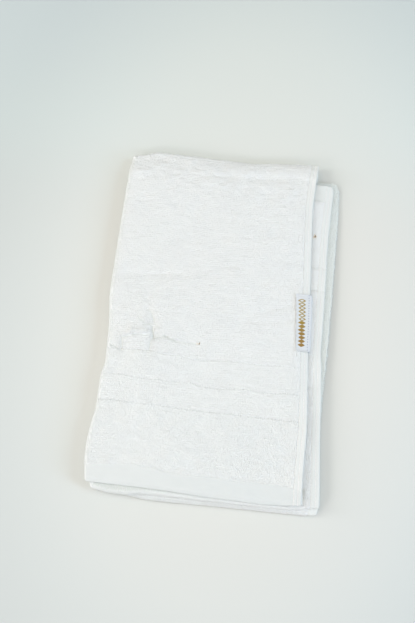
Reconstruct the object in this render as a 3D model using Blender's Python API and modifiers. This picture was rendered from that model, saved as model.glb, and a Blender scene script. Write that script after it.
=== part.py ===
"""A white terry hand towel with its side label. The cloth is folded in half across its width, and then in
thirds along its length: the bottom third is folded up over the back, and the top third down over both."""

import math
from collections import namedtuple

import bmesh
import bpy

# Driving dimensions, in metres. The folded towel lies with its length along Y, and Z is up.
CLOTH = 0.0020  # thickness of the terry
GAP = 0.0004  # air between two layers
PITCH = CLOTH + GAP
LAYERS = 6
STACK_HEIGHT = LAYERS * PITCH - GAP
LABEL = 0.0004  # thickness of the label's tape
LABEL_CLEARANCE = 0.00045  # air between the label and the cloth
LABEL_ENDS = (0.0280, -0.0300)  # y of the label's two cut edges
LABEL_REACH = (0.0138, 0.0116)  # how far its upper flap reaches in from the selvedge at each of them
LABEL_UNDER_REACH = 0.0090  # how far its lower flap reaches in

# The three panels, each of two plies. The outer ply is the one with the face that shows, and the plies are
# numbered from the bottom of the stack.
LAYER = {
    ("back", "outer"): 0,
    ("back", "inner"): 1,
    ("tuck", "inner"): 2,
    ("tuck", "outer"): 3,
    ("lid", "inner"): 4,
    ("lid", "outer"): 5,
}

# Side edges of each panel, seen from above.
EDGE_COLUMNS = ("y", "folded", "outer", "inner")
EDGES = {
    "lid": (
        (0.1700, -0.1003, 0.0998, 0.0915),
        (0.1500, -0.1018, 0.0976, 0.0885),
        (0.1200, -0.1023, 0.0956, 0.0855),
        (0.0870, -0.1029, 0.0962, 0.0845),
        (0.0450, -0.1034, 0.0971, 0.0835),
        (0.0080, -0.1030, 0.0984, 0.0830),
        (-0.0090, -0.1007, 0.0985, 0.0830),
        (-0.0300, -0.0990, 0.0985, 0.0832),
        (-0.0620, -0.0978, 0.0996, 0.0835),
        (-0.0720, -0.1001, 0.0999, 0.0835),
        (-0.1000, -0.1004, 0.0999, 0.0838),
        (-0.1250, -0.1032, 0.0996, 0.0840),
        (-0.1470, -0.1034, 0.0996, 0.0840),
        (-0.1700, -0.1007, 0.1002, 0.0840),
    ),
    "tuck": (
        (0.1510, -0.0900, 0.1168, 0.1226),
        (0.1200, -0.0905, 0.1148, 0.1224),
        (0.0900, -0.0910, 0.1132, 0.1216),
        (0.0400, -0.0920, 0.1125, 0.1200),
        (0.0000, -0.0930, 0.1116, 0.1185),
        (-0.0300, -0.0940, 0.1110, 0.1171),
        (-0.0450, -0.0945, 0.1122, 0.1160),
        (-0.0740, -0.0950, 0.1140, 0.1142),
        (-0.1100, -0.0955, 0.1143, 0.1130),
        (-0.1750, -0.0970, 0.1163, 0.1115),
    ),
    "back": (
        (0.1700, -0.1003, 0.1000, 0.0925),
        (0.0000, -0.0980, 0.1075, 0.1030),
        (-0.1750, -0.0970, 0.1140, 0.1110),
    ),
}

# Edges that run across, as (x, y).
TOP_FOLD = (
    (-0.1003, 0.1693),
    (-0.0860, 0.1714),
    (-0.0740, 0.1745),
    (-0.0530, 0.1733),
    (-0.0260, 0.1716),
    (0.0100, 0.1686),
    (0.0320, 0.1675),
    (0.0520, 0.1687),
    (0.1000, 0.1692),
)
UPPER_LIP = (
    (-0.0970, -0.1735),
    (-0.0800, -0.1762),
    (-0.0600, -0.1766),
    (-0.0500, -0.1747),
    (0.0300, -0.1749),
    (0.0860, -0.1745),
    (0.1160, -0.1715),
)
LOWER_LIP = (
    (-0.0970, -0.1742),
    (-0.0800, -0.1766),
    (-0.0600, -0.1775),
    (-0.0440, -0.1793),
    (0.0300, -0.1787),
    (0.1100, -0.1782),
    (0.1160, -0.1765),
)
LID_END = (
    (-0.1000, -0.1683),
    (-0.0320, -0.1682),
    (0.0085, -0.1701),
    (0.0434, -0.1717),
    (0.0700, -0.1724),
    (0.1002, -0.1697),
)
LID_INNER_SETBACK = 0.0030  # the inner ply ends this far short of the outer one
TUCK_END = {
    "outer": ((-0.0900, 0.1505), (0.1000, 0.1510), (0.1115, 0.1508), (0.1150, 0.1495), (0.1168, 0.1455)),
    "inner": ((-0.0900, 0.1505), (0.1050, 0.1552), (0.1150, 0.1555), (0.1200, 0.1540), (0.1226, 0.1476)),
}

# The fold at the bottom is a double lip. Its outer ply passes through these points from the tuck to the
# back: lean is 0 at the upper lip and 1 at the lower one, inset is how far the point lies behind the lip.
LipPoint = namedtuple("LipPoint", "lean inset height")
LIP_PROFILE = (
    LipPoint(0.0, 0.0022, 0.0082),
    LipPoint(0.0, 0.0009, 0.0079),
    LipPoint(0.0, 0.0000, 0.0069),
    LipPoint(0.0, 0.0003, 0.0056),
    LipPoint(0.5, 0.0000, 0.0044),
    LipPoint(1.0, 0.0003, 0.0034),
    LipPoint(1.0, 0.0000, 0.0023),
    LipPoint(1.0, 0.0010, 0.0012),
    LipPoint(1.0, 0.0026, CLOTH / 2),
)
INNER_FOLD_SETBACK = 0.0049  # centre of the inner ply's bottom fold, behind the upper lip
FOLD_STEPS = len(LIP_PROFILE) - 1

# The soft creases of the lid: a rounded ridge (or trough, if its height is negative) from one point to
# another, with its half width.
Crease = namedtuple("Crease", "x0 y0 x1 y1 half_width height")
CREASES = (
    Crease(-0.0560, -0.0080, -0.0540, -0.0420, 0.0300, 0.0016),
    Crease(-0.0552, -0.0120, -0.0540, -0.0400, 0.0045, -0.0017),
    Crease(-0.0780, -0.0245, -0.0640, -0.0220, 0.0060, 0.0006),
    Crease(-0.0480, -0.0262, -0.0080, -0.0300, 0.0060, -0.0005),
    Crease(-0.0900, 0.0365, -0.0130, 0.0426, 0.0060, -0.0003),
)

# The slight swell of the stack: waves across the cloth, in radians for each metre along X and along Y.
Wave = namedtuple("Wave", "height x_rate x_phase y_rate y_phase")
WAVES = (
    Wave(0.0007, 31, 0.6, 22, 0.4),
    Wave(0.0004, 50, 2.0, 43, 1.2),
)
TOP_FOLD_DROP = 0.0030  # how far the lid comes down between the end of the tuck and the top fold
DIP_LENGTH = 0.0100  # and the length within which it does
DIP_SETBACK = 0.0010  # from the end of the tuck to where it starts
INNER_FOLD_SLACK = 0.0004  # how far the inner ply's top fold stays behind the outer one's
OVERHANG_SAG = {"tuck": 5.0, "lid": 7.0}  # metres of sag for each square metre of overhang

# Where the cloth's rows and columns lie, as shares of each panel's length and width.
PANEL_SHARES = {
    "tuck": (0.0, 0.014, 0.035, 0.07, 0.14, 0.22, 0.3, 0.38, 0.46, 0.54, 0.61, 0.68, 0.76, 0.84, 0.92, 1.0),
    "back": (0.0, 0.12, 0.25, 0.38, 0.5, 0.62, 0.75, 0.88, 1.0),
    "lid": (
        *(0.0, 0.012, 0.026, 0.04, 0.055, 0.075, 0.12, 0.17, 0.22, 0.27, 0.32, 0.355, 0.385, 0.42, 0.46),
        *(0.495, 0.52, 0.54, 0.56, 0.58, 0.60, 0.62, 0.65, 0.69, 0.74, 0.79, 0.84, 0.89, 0.93, 0.965, 1.0),
    ),
}
PANEL_ORDER = ("tuck", "bottom fold", "back", "top fold", "lid")
OUTER_SHARES = (
    *(0.0, 0.04, 0.08, 0.12, 0.16, 0.195, 0.22, 0.25, 0.29, 0.34, 0.4, 0.48, 0.56, 0.64, 0.72, 0.8, 0.87),
    *(0.93, 0.97, 1.0),
)
INNER_SHARES = (1.0, 0.93, 0.8, 0.65, 0.5, 0.36, 0.24, 0.13, 0.05, 0.0)
HAIRPIN_STEPS = 4
LABEL_UPPER_STEPS = 5
LABEL_TURN_STEPS = 6
LABEL_UNDER_STEPS = 3
LABEL_ROWS = 8


def through(points, at):
    """The value at one place of a smooth curve through points, given as (place, value) in rising order."""
    places = [p for p, _ in points]
    values = [v for _, v in points]
    last = len(points) - 1
    slopes = []
    for i in range(last + 1):
        a, b = max(i - 1, 0), min(i + 1, last)
        slopes.append((values[b] - values[a]) / (places[b] - places[a]))
    i = 0
    while i < last - 1 and at > places[i + 1]:
        i += 1
    step = places[i + 1] - places[i]
    t = min(max((at - places[i]) / step, 0.0), 1.0)
    rise = values[i + 1] - values[i]
    a = slopes[i] * step - rise
    b = rise - slopes[i + 1] * step
    return values[i] + t * rise + t * (1 - t) * ((1 - t) * a + t * b)


def edge(panel, side, y):
    """x of one side edge of a panel at y."""
    column = EDGE_COLUMNS.index(side)
    rows = sorted(EDGES[panel])
    return through([(row[0], row[column]) for row in rows], y)


def smooth_step(share):
    """0 below 0, 1 above 1, and a smooth rise between."""
    share = min(max(share, 0.0), 1.0)
    return share * share * (3 - 2 * share)


def layer_height(layer):
    return CLOTH / 2 + layer * PITCH


def fold_radius(ply):
    """The radius of a ply's middle in the fold at the top."""
    apart = LAYER["lid", ply] - LAYER["back", ply]
    return (apart * PITCH - TOP_FOLD_DROP) / 2


def span(panel, ply, x):
    """y of the first and the last row of a panel, in the order in which the cloth runs."""
    top = through(TOP_FOLD, x) - CLOTH / 2 - fold_radius("outer")
    if panel == "lid":
        return top, through(LID_END, x) + (LID_INNER_SETBACK if ply == "inner" else 0.0)
    upper = through(UPPER_LIP, x) + CLOTH / 2
    lower = through(LOWER_LIP, x) + CLOTH / 2
    if ply == "inner":
        from_tuck = to_back = through(UPPER_LIP, x) + INNER_FOLD_SETBACK
    else:
        from_tuck, to_back = upper + LIP_PROFILE[0].inset, lower + LIP_PROFILE[-1].inset
    return (through(TUCK_END[ply], x), from_tuck) if panel == "tuck" else (to_back, top)


def crease_relief(x, y):
    """How far the creases raise the lid at one place."""
    relief = 0.0
    for crease in CREASES:
        run_x, run_y = crease.x1 - crease.x0, crease.y1 - crease.y0
        off_x, off_y = x - crease.x0, y - crease.y0
        share = (off_x * run_x + off_y * run_y) / (run_x**2 + run_y**2)
        share = min(max(share, 0.0), 1.0)
        away = math.hypot(off_x - share * run_x, off_y - share * run_y)
        relief += crease.height * math.exp(-((away / crease.half_width) ** 2))
    return relief


def resting(panel, ply, x, y):
    """The height of a panel's ply at one place: its level in the stack, its dip, its sag and its creases."""
    height = layer_height(LAYER[panel, ply])
    if panel == "lid":
        past_tuck = y - through(TUCK_END["inner"], x) - DIP_SETBACK
        height -= TOP_FOLD_DROP * smooth_step(past_tuck / DIP_LENGTH)
        height -= OVERHANG_SAG["lid"] * max(0.0, edge("tuck", "folded", y) - x) ** 2
        if ply == "outer":
            height += crease_relief(x, y)
            height -= OVERHANG_SAG["lid"] * max(0.0, x - edge("lid", "inner", y)) ** 2
    if panel == "tuck":
        height -= OVERHANG_SAG["tuck"] * max(0.0, x - edge("back", "inner", y)) ** 2
    return uneven(x, y, height)


def uneven(x, y, height):
    """The height again, with the slight swell that grows from the ground layer, which stays flat."""
    share = (height - CLOTH / 2) / STACK_HEIGHT
    for wave in WAVES:
        swell = math.sin(wave.x_rate * x + wave.x_phase) * math.sin(wave.y_rate * y + wave.y_phase)
        height += wave.height * (1 + swell) * share
    return height


def ply_point(part, share_along, ply, share_across):
    """One point of the middle of the cloth, on a panel or in a fold, in one ply."""
    if part in PANEL_SHARES:
        start, end = span(part, ply, 0.0)
        y = start + share_along * (end - start)
        x = across(edge(part, "folded", y), edge(part, ply, y), share_across)
        start, end = span(part, ply, x)
        y = start + share_along * (end - start)
        return x, y, resting(part, ply, x, y)
    before, after = ("tuck", "back") if part == "bottom fold" else ("back", "lid")
    y_fold = span(before, ply, 0.0)[1]
    folded = mix(edge(before, "folded", y_fold), edge(after, "folded", y_fold), share_along)
    selvedge = mix(edge(before, ply, y_fold), edge(after, ply, y_fold), share_along)
    x = across(folded, selvedge, share_across)
    angle = math.pi * share_along
    if part == "bottom fold" and ply == "outer":
        lip = LIP_PROFILE[round(share_along * FOLD_STEPS)]
        y = mix(through(UPPER_LIP, x), through(LOWER_LIP, x), lip.lean) + CLOTH / 2 + lip.inset
        height = lip.height
    elif part == "bottom fold":
        y = span("tuck", ply, x)[1] - PITCH / 2 * math.sin(angle)
        height = (layer_height(1) + layer_height(2)) / 2 + PITCH / 2 * math.cos(angle)
    else:
        radius = fold_radius(ply)
        bulge = radius - (INNER_FOLD_SLACK if ply == "inner" else 0.0)
        y = span("back", ply, x)[1] + bulge * math.sin(angle)
        height = layer_height(0) + fold_radius("outer") - radius * math.cos(angle)
    return x, y, uneven(x, y, height)


def mix(a, b, share):
    return a + share * (b - a)


def across(folded, selvedge, share):
    """x at a share of the way from the hairpin at the folded edge to the selvedge."""
    return mix(folded + CLOTH / 2 + PITCH / 2, selvedge, share)


def cloth_point(row, column):
    """One point of the middle of the cloth. A column is in a ply, or in the hairpin that joins the plies."""
    part, share_along = row
    ply, share_across = column
    if ply != "hairpin":
        return ply_point(part, share_along, ply, share_across)
    inner = ply_point(part, share_along, "inner", 0.0)
    outer = ply_point(part, share_along, "outer", 0.0)
    half = [(b - a) / 2 for a, b in zip(inner, outer)]
    bulge = min(math.hypot(*half), PITCH / 2)
    angle = math.pi * share_across
    point = [(a + b) / 2 - h * math.cos(angle) for a, b, h in zip(inner, outer, half)]
    point[0] -= bulge * math.sin(angle)
    return tuple(point)


def cloth_rows():
    rows = []
    for part in PANEL_ORDER:
        if part in PANEL_SHARES:
            rows += [(part, share) for share in PANEL_SHARES[part]]
        else:
            rows += [(part, step / FOLD_STEPS) for step in range(1, FOLD_STEPS)]
    return rows


def cloth_columns():
    columns = [("inner", share) for share in INNER_SHARES]
    columns += [("hairpin", step / HAIRPIN_STEPS) for step in range(1, HAIRPIN_STEPS)]
    columns += [("outer", share) for share in OUTER_SHARES]
    return columns


def label_point(share_along, step):
    """One point of the middle of the label, which goes round the selvedge of the lid's outer ply."""
    y = mix(*LABEL_ENDS, share_along)
    selvedge = edge("lid", "outer", y)
    off = CLOTH / 2 + LABEL_CLEARANCE + LABEL / 2
    turned = step - LABEL_UPPER_STEPS
    if turned <= 0:
        x = selvedge + mix(*LABEL_REACH, share_along) * turned / LABEL_UPPER_STEPS
        return x, y, resting("lid", "outer", x, y) + off
    if turned < LABEL_TURN_STEPS:
        angle = math.pi * turned / LABEL_TURN_STEPS
        height = resting("lid", "outer", selvedge, y)
        return selvedge + off * math.sin(angle), y, height + off * math.cos(angle)
    under = (turned - LABEL_TURN_STEPS) / LABEL_UNDER_STEPS
    x = selvedge - LABEL_UNDER_REACH * under
    return x, y, resting("lid", "outer", x, y) - off


def grid_object(name, collection, rows, columns, point):
    """A sheet as a grid of rows and columns, each of whose vertices is placed by point(row, column)."""
    bm = bmesh.new()
    made = bmesh.ops.create_grid(bm, x_segments=columns - 1, y_segments=rows - 1, size=1.0)
    for vertex in made["verts"]:
        column = round((vertex.co.x + 1) / 2 * (columns - 1))
        row = round((vertex.co.y + 1) / 2 * (rows - 1))
        vertex.co = point(row, column)
    mesh = bpy.data.meshes.new(name)
    bm.to_mesh(mesh)
    bm.free()
    mesh.shade_smooth()
    item = bpy.data.objects.new(name, mesh)
    collection.objects.link(item)
    return item


def thicken(item, thickness):
    solidify = item.modifiers.new("Thickness", "SOLIDIFY")
    solidify.thickness = thickness
    solidify.offset = 0.0


def plain_material(name, colour, roughness, sheen):
    material = bpy.data.materials.new(name)
    material.use_nodes = True
    shader = material.node_tree.nodes["Principled BSDF"]
    shader.inputs["Base Color"].default_value = (*colour, 1.0)
    shader.inputs["Roughness"].default_value = roughness
    shader.inputs["Metallic"].default_value = 0.0
    shader.inputs["Sheen Weight"].default_value = sheen
    return material


def build_towel(collection):
    rows, columns = cloth_rows(), cloth_columns()
    towel = grid_object(
        "towel_cloth", collection, len(rows), len(columns), lambda r, c: cloth_point(rows[r], columns[c])
    )
    thicken(towel, CLOTH)
    towel.data.materials.append(plain_material("white_terry", (0.84, 0.86, 0.88), 0.95, 0.3))
    return towel


def build_label(collection):
    steps = LABEL_UPPER_STEPS + LABEL_TURN_STEPS + LABEL_UNDER_STEPS
    label = grid_object(
        "side_label", collection, LABEL_ROWS + 1, steps + 1, lambda r, c: label_point(r / LABEL_ROWS, c)
    )
    thicken(label, LABEL)
    label.data.materials.append(plain_material("label_tape", (0.80, 0.79, 0.86), 0.5, 0.0))
    return label


def stand_on_origin(items):
    """Moves the meshes so that the origin is the middle of the underside of the box around them all."""
    graph = bpy.context.evaluated_depsgraph_get()
    corners = [corner for item in items for corner in item.evaluated_get(graph).bound_box]
    low = [min(corner[axis] for corner in corners) for axis in range(3)]
    high = [max(corner[axis] for corner in corners) for axis in range(3)]
    shift = (-(low[0] + high[0]) / 2, -(low[1] + high[1]) / 2, -low[2])
    for item in items:
        for vertex in item.data.vertices:
            vertex.co = [value + move for value, move in zip(vertex.co, shift)]


def main():
    for item in list(bpy.data.objects):
        bpy.data.objects.remove(item, do_unlink=True)
    collection = bpy.data.collections.new("folded_hand_towel")
    bpy.context.scene.collection.children.link(collection)
    stand_on_origin([build_towel(collection), build_label(collection)])


main()
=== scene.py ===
"""The looks of a white terry hand towel, folded in half across its width and then in thirds.

The cloth follows the folds of its solid, and its pile is made of loops that stand on the faces that show.
"""

import math
from collections import namedtuple

import bpy
import numpy as np
from mathutils import Euler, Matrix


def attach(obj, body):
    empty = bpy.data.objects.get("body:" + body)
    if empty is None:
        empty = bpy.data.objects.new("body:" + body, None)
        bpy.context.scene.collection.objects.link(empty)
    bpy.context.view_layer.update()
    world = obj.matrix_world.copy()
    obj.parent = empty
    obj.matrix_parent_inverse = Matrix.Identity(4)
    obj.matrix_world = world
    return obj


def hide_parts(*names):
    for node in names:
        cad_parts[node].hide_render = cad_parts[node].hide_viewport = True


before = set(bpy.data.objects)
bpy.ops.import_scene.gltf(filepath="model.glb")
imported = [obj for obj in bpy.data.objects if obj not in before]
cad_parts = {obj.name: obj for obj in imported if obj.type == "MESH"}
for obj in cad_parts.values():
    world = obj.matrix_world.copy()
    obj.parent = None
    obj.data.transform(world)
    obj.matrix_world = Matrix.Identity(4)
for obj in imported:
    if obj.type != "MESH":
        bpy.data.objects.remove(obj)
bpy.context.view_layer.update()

# ---- The fold, in metres, with the middle of the lid as its origin ----
LID_CENTRE = (-0.009655, 0.002452, 0.0)  # where that lies in the frame
CLOTH = 0.0020  # thickness of the solid's layers
LAYER_GAP = 0.0004
PITCH = CLOTH + LAYER_GAP  # from one layer to the next
LAYER = {
    ("back", "outer"): 0,
    ("back", "inner"): 1,
    ("tuck", "inner"): 2,
    ("tuck", "outer"): 3,
    ("lid", "inner"): 4,
    ("lid", "outer"): 5,
}
STACK_HEIGHT = len(LAYER) * PITCH - LAYER_GAP

# Side edges of each panel, seen from above: x of the folded edge and of each ply's selvedge, at each y.
EDGE_COLUMNS = ("y", "folded", "outer", "inner")
LID_EDGES = (
    (0.1700, -0.1003, 0.0998, 0.0915),
    (0.1500, -0.1018, 0.0976, 0.0885),
    (0.1200, -0.1023, 0.0956, 0.0855),
    (0.0870, -0.1029, 0.0962, 0.0845),
    (0.0450, -0.1034, 0.0971, 0.0835),
    (0.0080, -0.1030, 0.0984, 0.0830),
    (-0.0090, -0.1007, 0.0985, 0.0830),
    (-0.0300, -0.0990, 0.0985, 0.0832),
    (-0.0620, -0.0978, 0.0996, 0.0835),
    (-0.0720, -0.1001, 0.0999, 0.0835),
    (-0.1000, -0.1004, 0.1007, 0.0838),
    (-0.1250, -0.1039, 0.0998, 0.0840),
    (-0.1470, -0.1042, 0.0993, 0.0840),
    (-0.1700, -0.1015, 0.0996, 0.0840),
)
TUCK_EDGES = (
    (0.1510, -0.0900, 0.1168, 0.1226),
    (0.1200, -0.0905, 0.1148, 0.1224),
    (0.0900, -0.0910, 0.1132, 0.1216),
    (0.0400, -0.0920, 0.1125, 0.1200),
    (0.0000, -0.0930, 0.1116, 0.1185),
    (-0.0300, -0.0940, 0.1110, 0.1171),
    (-0.0450, -0.0945, 0.1122, 0.1160),
    (-0.0740, -0.0950, 0.1131, 0.1142),
    (-0.1100, -0.0955, 0.1138, 0.1130),
    (-0.1750, -0.0970, 0.1163, 0.1115),
)
BACK_EDGES = (
    (0.1700, -0.1003, 0.1000, 0.0925),
    (0.0000, -0.0980, 0.1075, 0.1030),
    (-0.1750, -0.0970, 0.1140, 0.1110),
)
EDGES = {"lid": LID_EDGES, "tuck": TUCK_EDGES, "back": BACK_EDGES}

# Edges that run across, as (x, y).
TOP_FOLD = (
    (-0.1003, 0.1741), (-0.0860, 0.1762), (-0.0740, 0.1793), (-0.0530, 0.1781), (-0.0260, 0.1764),
    (0.0100, 0.1734), (0.0320, 0.1723), (0.0520, 0.1735), (0.1000, 0.1740),
)
UPPER_LIP = (
    (-0.0970, -0.1735), (-0.0800, -0.1762), (-0.0600, -0.1766), (-0.0500, -0.1747), (0.0300, -0.1749),
    (0.0860, -0.1745), (0.1160, -0.1715),
)
LOWER_LIP = (
    (-0.0970, -0.1742), (-0.0800, -0.1766), (-0.0600, -0.1775), (-0.0440, -0.1793), (0.0300, -0.1787),
    (0.1100, -0.1782), (0.1160, -0.1765),
)
LID_END = (
    (-0.1000, -0.1683), (-0.0320, -0.1692), (0.0085, -0.1711), (0.0434, -0.1717), (0.0700, -0.1724),
    (0.1002, -0.1697),
)
TUCK_END = {
    "outer": ((-0.0900, 0.1505), (0.1000, 0.1510), (0.1115, 0.1508), (0.1150, 0.1495), (0.1168, 0.1455)),
    "inner": ((-0.0900, 0.1505), (0.1050, 0.1552), (0.1150, 0.1555), (0.1200, 0.1540), (0.1226, 0.1476)),
}

# The weft lines of the lid that show: three grooves with no pile, and the seam of the end hem.
LID_LINES = (
    (
        (-0.0955, -0.0410), (-0.0660, -0.0410), (-0.0520, -0.0407), (-0.0380, -0.0435), (-0.0260, -0.0430),
        (-0.0120, -0.0458), (0.0120, -0.0453), (0.0250, -0.0446), (0.0560, -0.0459), (0.0730, -0.0447),
        (0.0885, -0.0460),
    ),
    (
        (-0.0950, -0.0662), (-0.0770, -0.0662), (-0.0630, -0.0679), (-0.0350, -0.0684), (-0.0140, -0.0685),
        (-0.0020, -0.0709), (0.0210, -0.0717), (0.0460, -0.0699), (0.0530, -0.0721), (0.0840, -0.0708),
    ),
    (
        (-0.1000, -0.0921), (-0.0840, -0.0913), (-0.0620, -0.0921), (-0.0440, -0.0923), (-0.0150, -0.0938),
        (0.0090, -0.0943), (0.0410, -0.0954), (0.0860, -0.0958), (0.0910, -0.0964),
    ),
    (
        (-0.1020, -0.1527), (-0.0620, -0.1488), (-0.0460, -0.1499), (-0.0100, -0.1536), (0.0190, -0.1534),
        (0.0370, -0.1542), (0.0660, -0.1541), (0.0880, -0.1549), (0.0990, -0.1577),
    ),
)

# The double lip at the bottom, from the tuck to the back. Lean is 0 at the upper lip and 1 at the lower one,
# and inset is how far behind the lip a point lies.
Lip = namedtuple("Lip", "lean inset height")
LIP_PROFILE = (
    Lip(0.0, 0.0022, 0.0082),
    Lip(0.0, 0.0009, 0.0079),
    Lip(0.0, 0.0000, 0.0069),
    Lip(0.0, 0.0003, 0.0056),
    Lip(0.5, 0.0000, 0.0044),
    Lip(1.0, 0.0003, 0.0034),
    Lip(1.0, 0.0000, 0.0023),
    Lip(1.0, 0.0001, 0.0012),
    Lip(1.0, 0.0026, 0.0010),
)
INNER_FOLD_SETBACK = 0.0049  # centre of the inner ply's bottom fold, behind the upper lip
LID_INNER_SETBACK = 0.0030  # end of the lid's inner ply, behind that of its outer ply
INNER_FOLD_SLACK = 0.0004
FOLD_SQUARENESS = 0.72  # of the top fold, 1 for a round one
OVERHANG_SAG = {"tuck": 5.0, "lid": 7.0}  # times the square of how far the cloth hangs over

# The lid dips past the end of the tuck, towards the top fold.
TOP_FOLD_DROP = 0.0030
DIP_LENGTH = 0.0220
DIP_SETBACK = 0.0010

# The end of the lid droops, but for its lower right corner, which stands off the tuck.
END_DROOP = 0.0023
END_DROOP_RUN = 0.0045
CORNER_LIFT = 0.0008
LIFT_BELOW = -0.0450
LIFT_RUN = 0.0700
LIFT_INSIDE = 0.0750
LIFT_WIDTH = 0.0220

# The terry of the lid heaves in lumps of these sizes, stretched across it. Its top is ruffled besides.
Swell = namedtuple("Swell", "height ruffle size stretch")
SWELLS = (
    Swell(0.00022, 0.00000, 0.0210, 1.0),
    Swell(0.00012, 0.00032, 0.0090, 1.3),
    Swell(0.00018, 0.00020, 0.0040, 1.8),
    Swell(0.00013, 0.00010, 0.0024, 2.2),
)
SWELL_SEED = 5
RUFFLED_ABOVE = 0.1100
RUFFLED_RUN = 0.0400

# How the weft lines stray, in lumps of two sizes.
Stray = namedtuple("Stray", "reach size seed")
LINE_STRAYS = (Stray(0.00030, 0.0032, 50), Stray(0.00035, 0.0085, 60))
LINES_APART = 0.01

# The whole stack is uneven.
Wave = namedtuple("Wave", "height x_rate x_phase y_rate y_phase")
WAVES = (
    Wave(0.0007, 31, 0.6, 22, 0.4),
    Wave(0.0004, 50, 2.0, 43, 1.2),
)

# Soft creases, each a rounded ridge or trough from one point to another. The solid has the lid's first five,
# but the second is deeper there.
Crease = namedtuple("Crease", "x0 y0 x1 y1 half_width height")
LID_CREASES = (
    (-0.0560, -0.0080, -0.0540, -0.0420, 0.0300, 0.0016),
    (-0.0560, -0.0120, -0.0552, -0.0400, 0.0050, -0.0008),
    (-0.0780, -0.0245, -0.0640, -0.0220, 0.0060, 0.0006),
    (-0.0480, -0.0262, -0.0080, -0.0300, 0.0060, -0.0005),
    (-0.0900, 0.0365, -0.0130, 0.0426, 0.0060, -0.0003),
    # The pinch, with the shade over it and the thin crease below it.
    (-0.0548, -0.0170, -0.0530, -0.0285, 0.0016, -0.0014),
    (-0.0637, 0.0133, -0.0567, -0.0102, 0.0042, -0.0006),
    (-0.0553, -0.0294, -0.0548, -0.0404, 0.0014, -0.0005),
    # The arched ridge left of it, and the trough under the ridge.
    (-0.0845, -0.0270, -0.0754, -0.0232, 0.0020, 0.0008),
    (-0.0754, -0.0226, -0.0603, -0.0215, 0.0024, 0.0010),
    (-0.0820, -0.0290, -0.0720, -0.0258, 0.0010, -0.0009),
    (-0.0720, -0.0258, -0.0595, -0.0243, 0.0010, -0.0009),
    # The pucker at the folded edge.
    (-0.0841, -0.0288, -0.0823, -0.0418, 0.0013, -0.0006),
    (-0.0900, -0.0330, -0.0862, -0.0366, 0.0025, 0.0005),
    (-0.0935, -0.0377, -0.0828, -0.0418, 0.0012, -0.0006),
    # The loops over the pinch part where the cloth bends.
    (-0.0690, -0.0090, -0.0640, -0.0120, 0.0011, -0.0006),
    (-0.0640, -0.0150, -0.0580, -0.0135, 0.0011, -0.0007),
    (-0.0560, -0.0060, -0.0535, -0.0110, 0.0012, -0.0006),
    (-0.0520, -0.0150, -0.0480, -0.0175, 0.0011, -0.0005),
    (-0.0610, 0.0010, -0.0560, -0.0030, 0.0011, -0.0005),
    (-0.0540, -0.0270, -0.0480, -0.0230, 0.0011, -0.0005),
    # The crease right of the pinch.
    (-0.0526, -0.0272, -0.0408, -0.0252, 0.0016, -0.0009),
    (-0.0408, -0.0252, -0.0294, -0.0293, 0.0014, -0.0009),
    (-0.0294, -0.0293, -0.0086, -0.0300, 0.0011, -0.0005),
    # Faint ones elsewhere.
    (-0.0880, 0.0378, -0.0480, 0.0392, 0.0038, -0.0006),
    (-0.0480, 0.0395, -0.0129, 0.0426, 0.0036, -0.0003),
    (0.0291, 0.0008, 0.0791, 0.0161, 0.0030, -0.0005),
    (0.0310, -0.0060, 0.0800, 0.0010, 0.0030, -0.0004),
    (-0.0600, 0.1540, 0.0300, 0.1524, 0.0046, -0.0007),
    (0.0300, 0.1524, 0.0900, 0.1532, 0.0046, -0.0009),
)
TUCK_CREASES = (
    (0.0930, 0.1336, 0.1045, 0.1328, 0.0010, -0.0007),
    (0.0900, 0.0585, 0.1180, 0.0585, 0.0012, -0.0004),
    (0.0900, 0.0347, 0.1180, 0.0347, 0.0012, -0.0004),
    (0.0900, -0.0302, 0.1130, -0.0306, 0.0014, -0.0005),
    (0.0950, -0.0628, 0.1140, -0.0630, 0.0012, -0.0004),
    # The slot under the lid's lifted corner, where the parted pile gets painted shade.
    (0.1004, -0.1550, 0.1011, -0.1690, 0.0012, -0.0012),
)
CREASES = {"lid": [Crease(*row) for row in LID_CREASES], "tuck": [Crease(*row) for row in TUCK_CREASES]}
PARTED_BELOW = 0.0024  # troughs narrower than this part the pile and darken it with painted shade
PARTED_DEPTH = 0.0010  # and those this deep part it fully, with full painted shade

# Two small stains, each of a core and a halo, with how far they reach and how dark they are, from 0 to 1.
Stain = namedtuple("Stain", "x y reach depth")
STAINS = (
    Stain(-0.0071, -0.0297, 0.00065, 0.95),
    Stain(-0.0090, -0.0294, 0.0012, 0.12),
    Stain(0.0994, 0.0928, 0.0007, 0.95),
    Stain(0.0994, 0.0928, 0.0013, 0.45),
)
STAIN_EDGE = 1.5  # of its reach, where a stain ends

# ---- The cloth ----
FLAT_SIZE = (0.40, 1.02)
HALF_WIDTH = FLAT_SIZE[0] / 2
LENGTHS = {"tuck": 0.3230, "bottom fold": 0.0150, "back": 0.3370, "top fold": 0.0120, "lid": 0.3330}
LID_SHARES = (0.0, 0.6265, 0.7035, 0.7730, 0.9530, 1.0)  # of the lid's length, at its lines
LID_GROOVES = [share * LENGTHS["lid"] for share in LID_SHARES[1:4]]
LID_SEAM = LID_SHARES[4] * LENGTHS["lid"]
TUCK_GROOVES = (0.0930, 0.1170, 0.1415)  # from the tuck's end
END_HEM = 0.0190
SIDE_HEM = 0.0080
HEM_HALF = 0.00085  # half the thickness of the hems
GROUND_HALF = 0.00075  # and of the ground that the loops stand on
HEM_BLEND = 0.0004  # over which one turns into the other
GROOVE_HALF_WIDTH = 0.0007
GROOVE_DEPTH = 0.00028
SEAM_DEPTH = 0.00022
SEAM_HALF_WIDTHS = (0.0004, 0.0005, 0.0005)  # at the hem's edge, in the middle of it and along the end hems
EDGE_ROUNDING = 0.0008
EDGE_THINNEST = 0.06  # square of the share of its thickness that the cloth keeps at its very edge
END_PALENESS = 0.4  # of the selvedge where it runs along the end hem
HAIRPIN_LENGTH = math.pi * PITCH / 2

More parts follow.
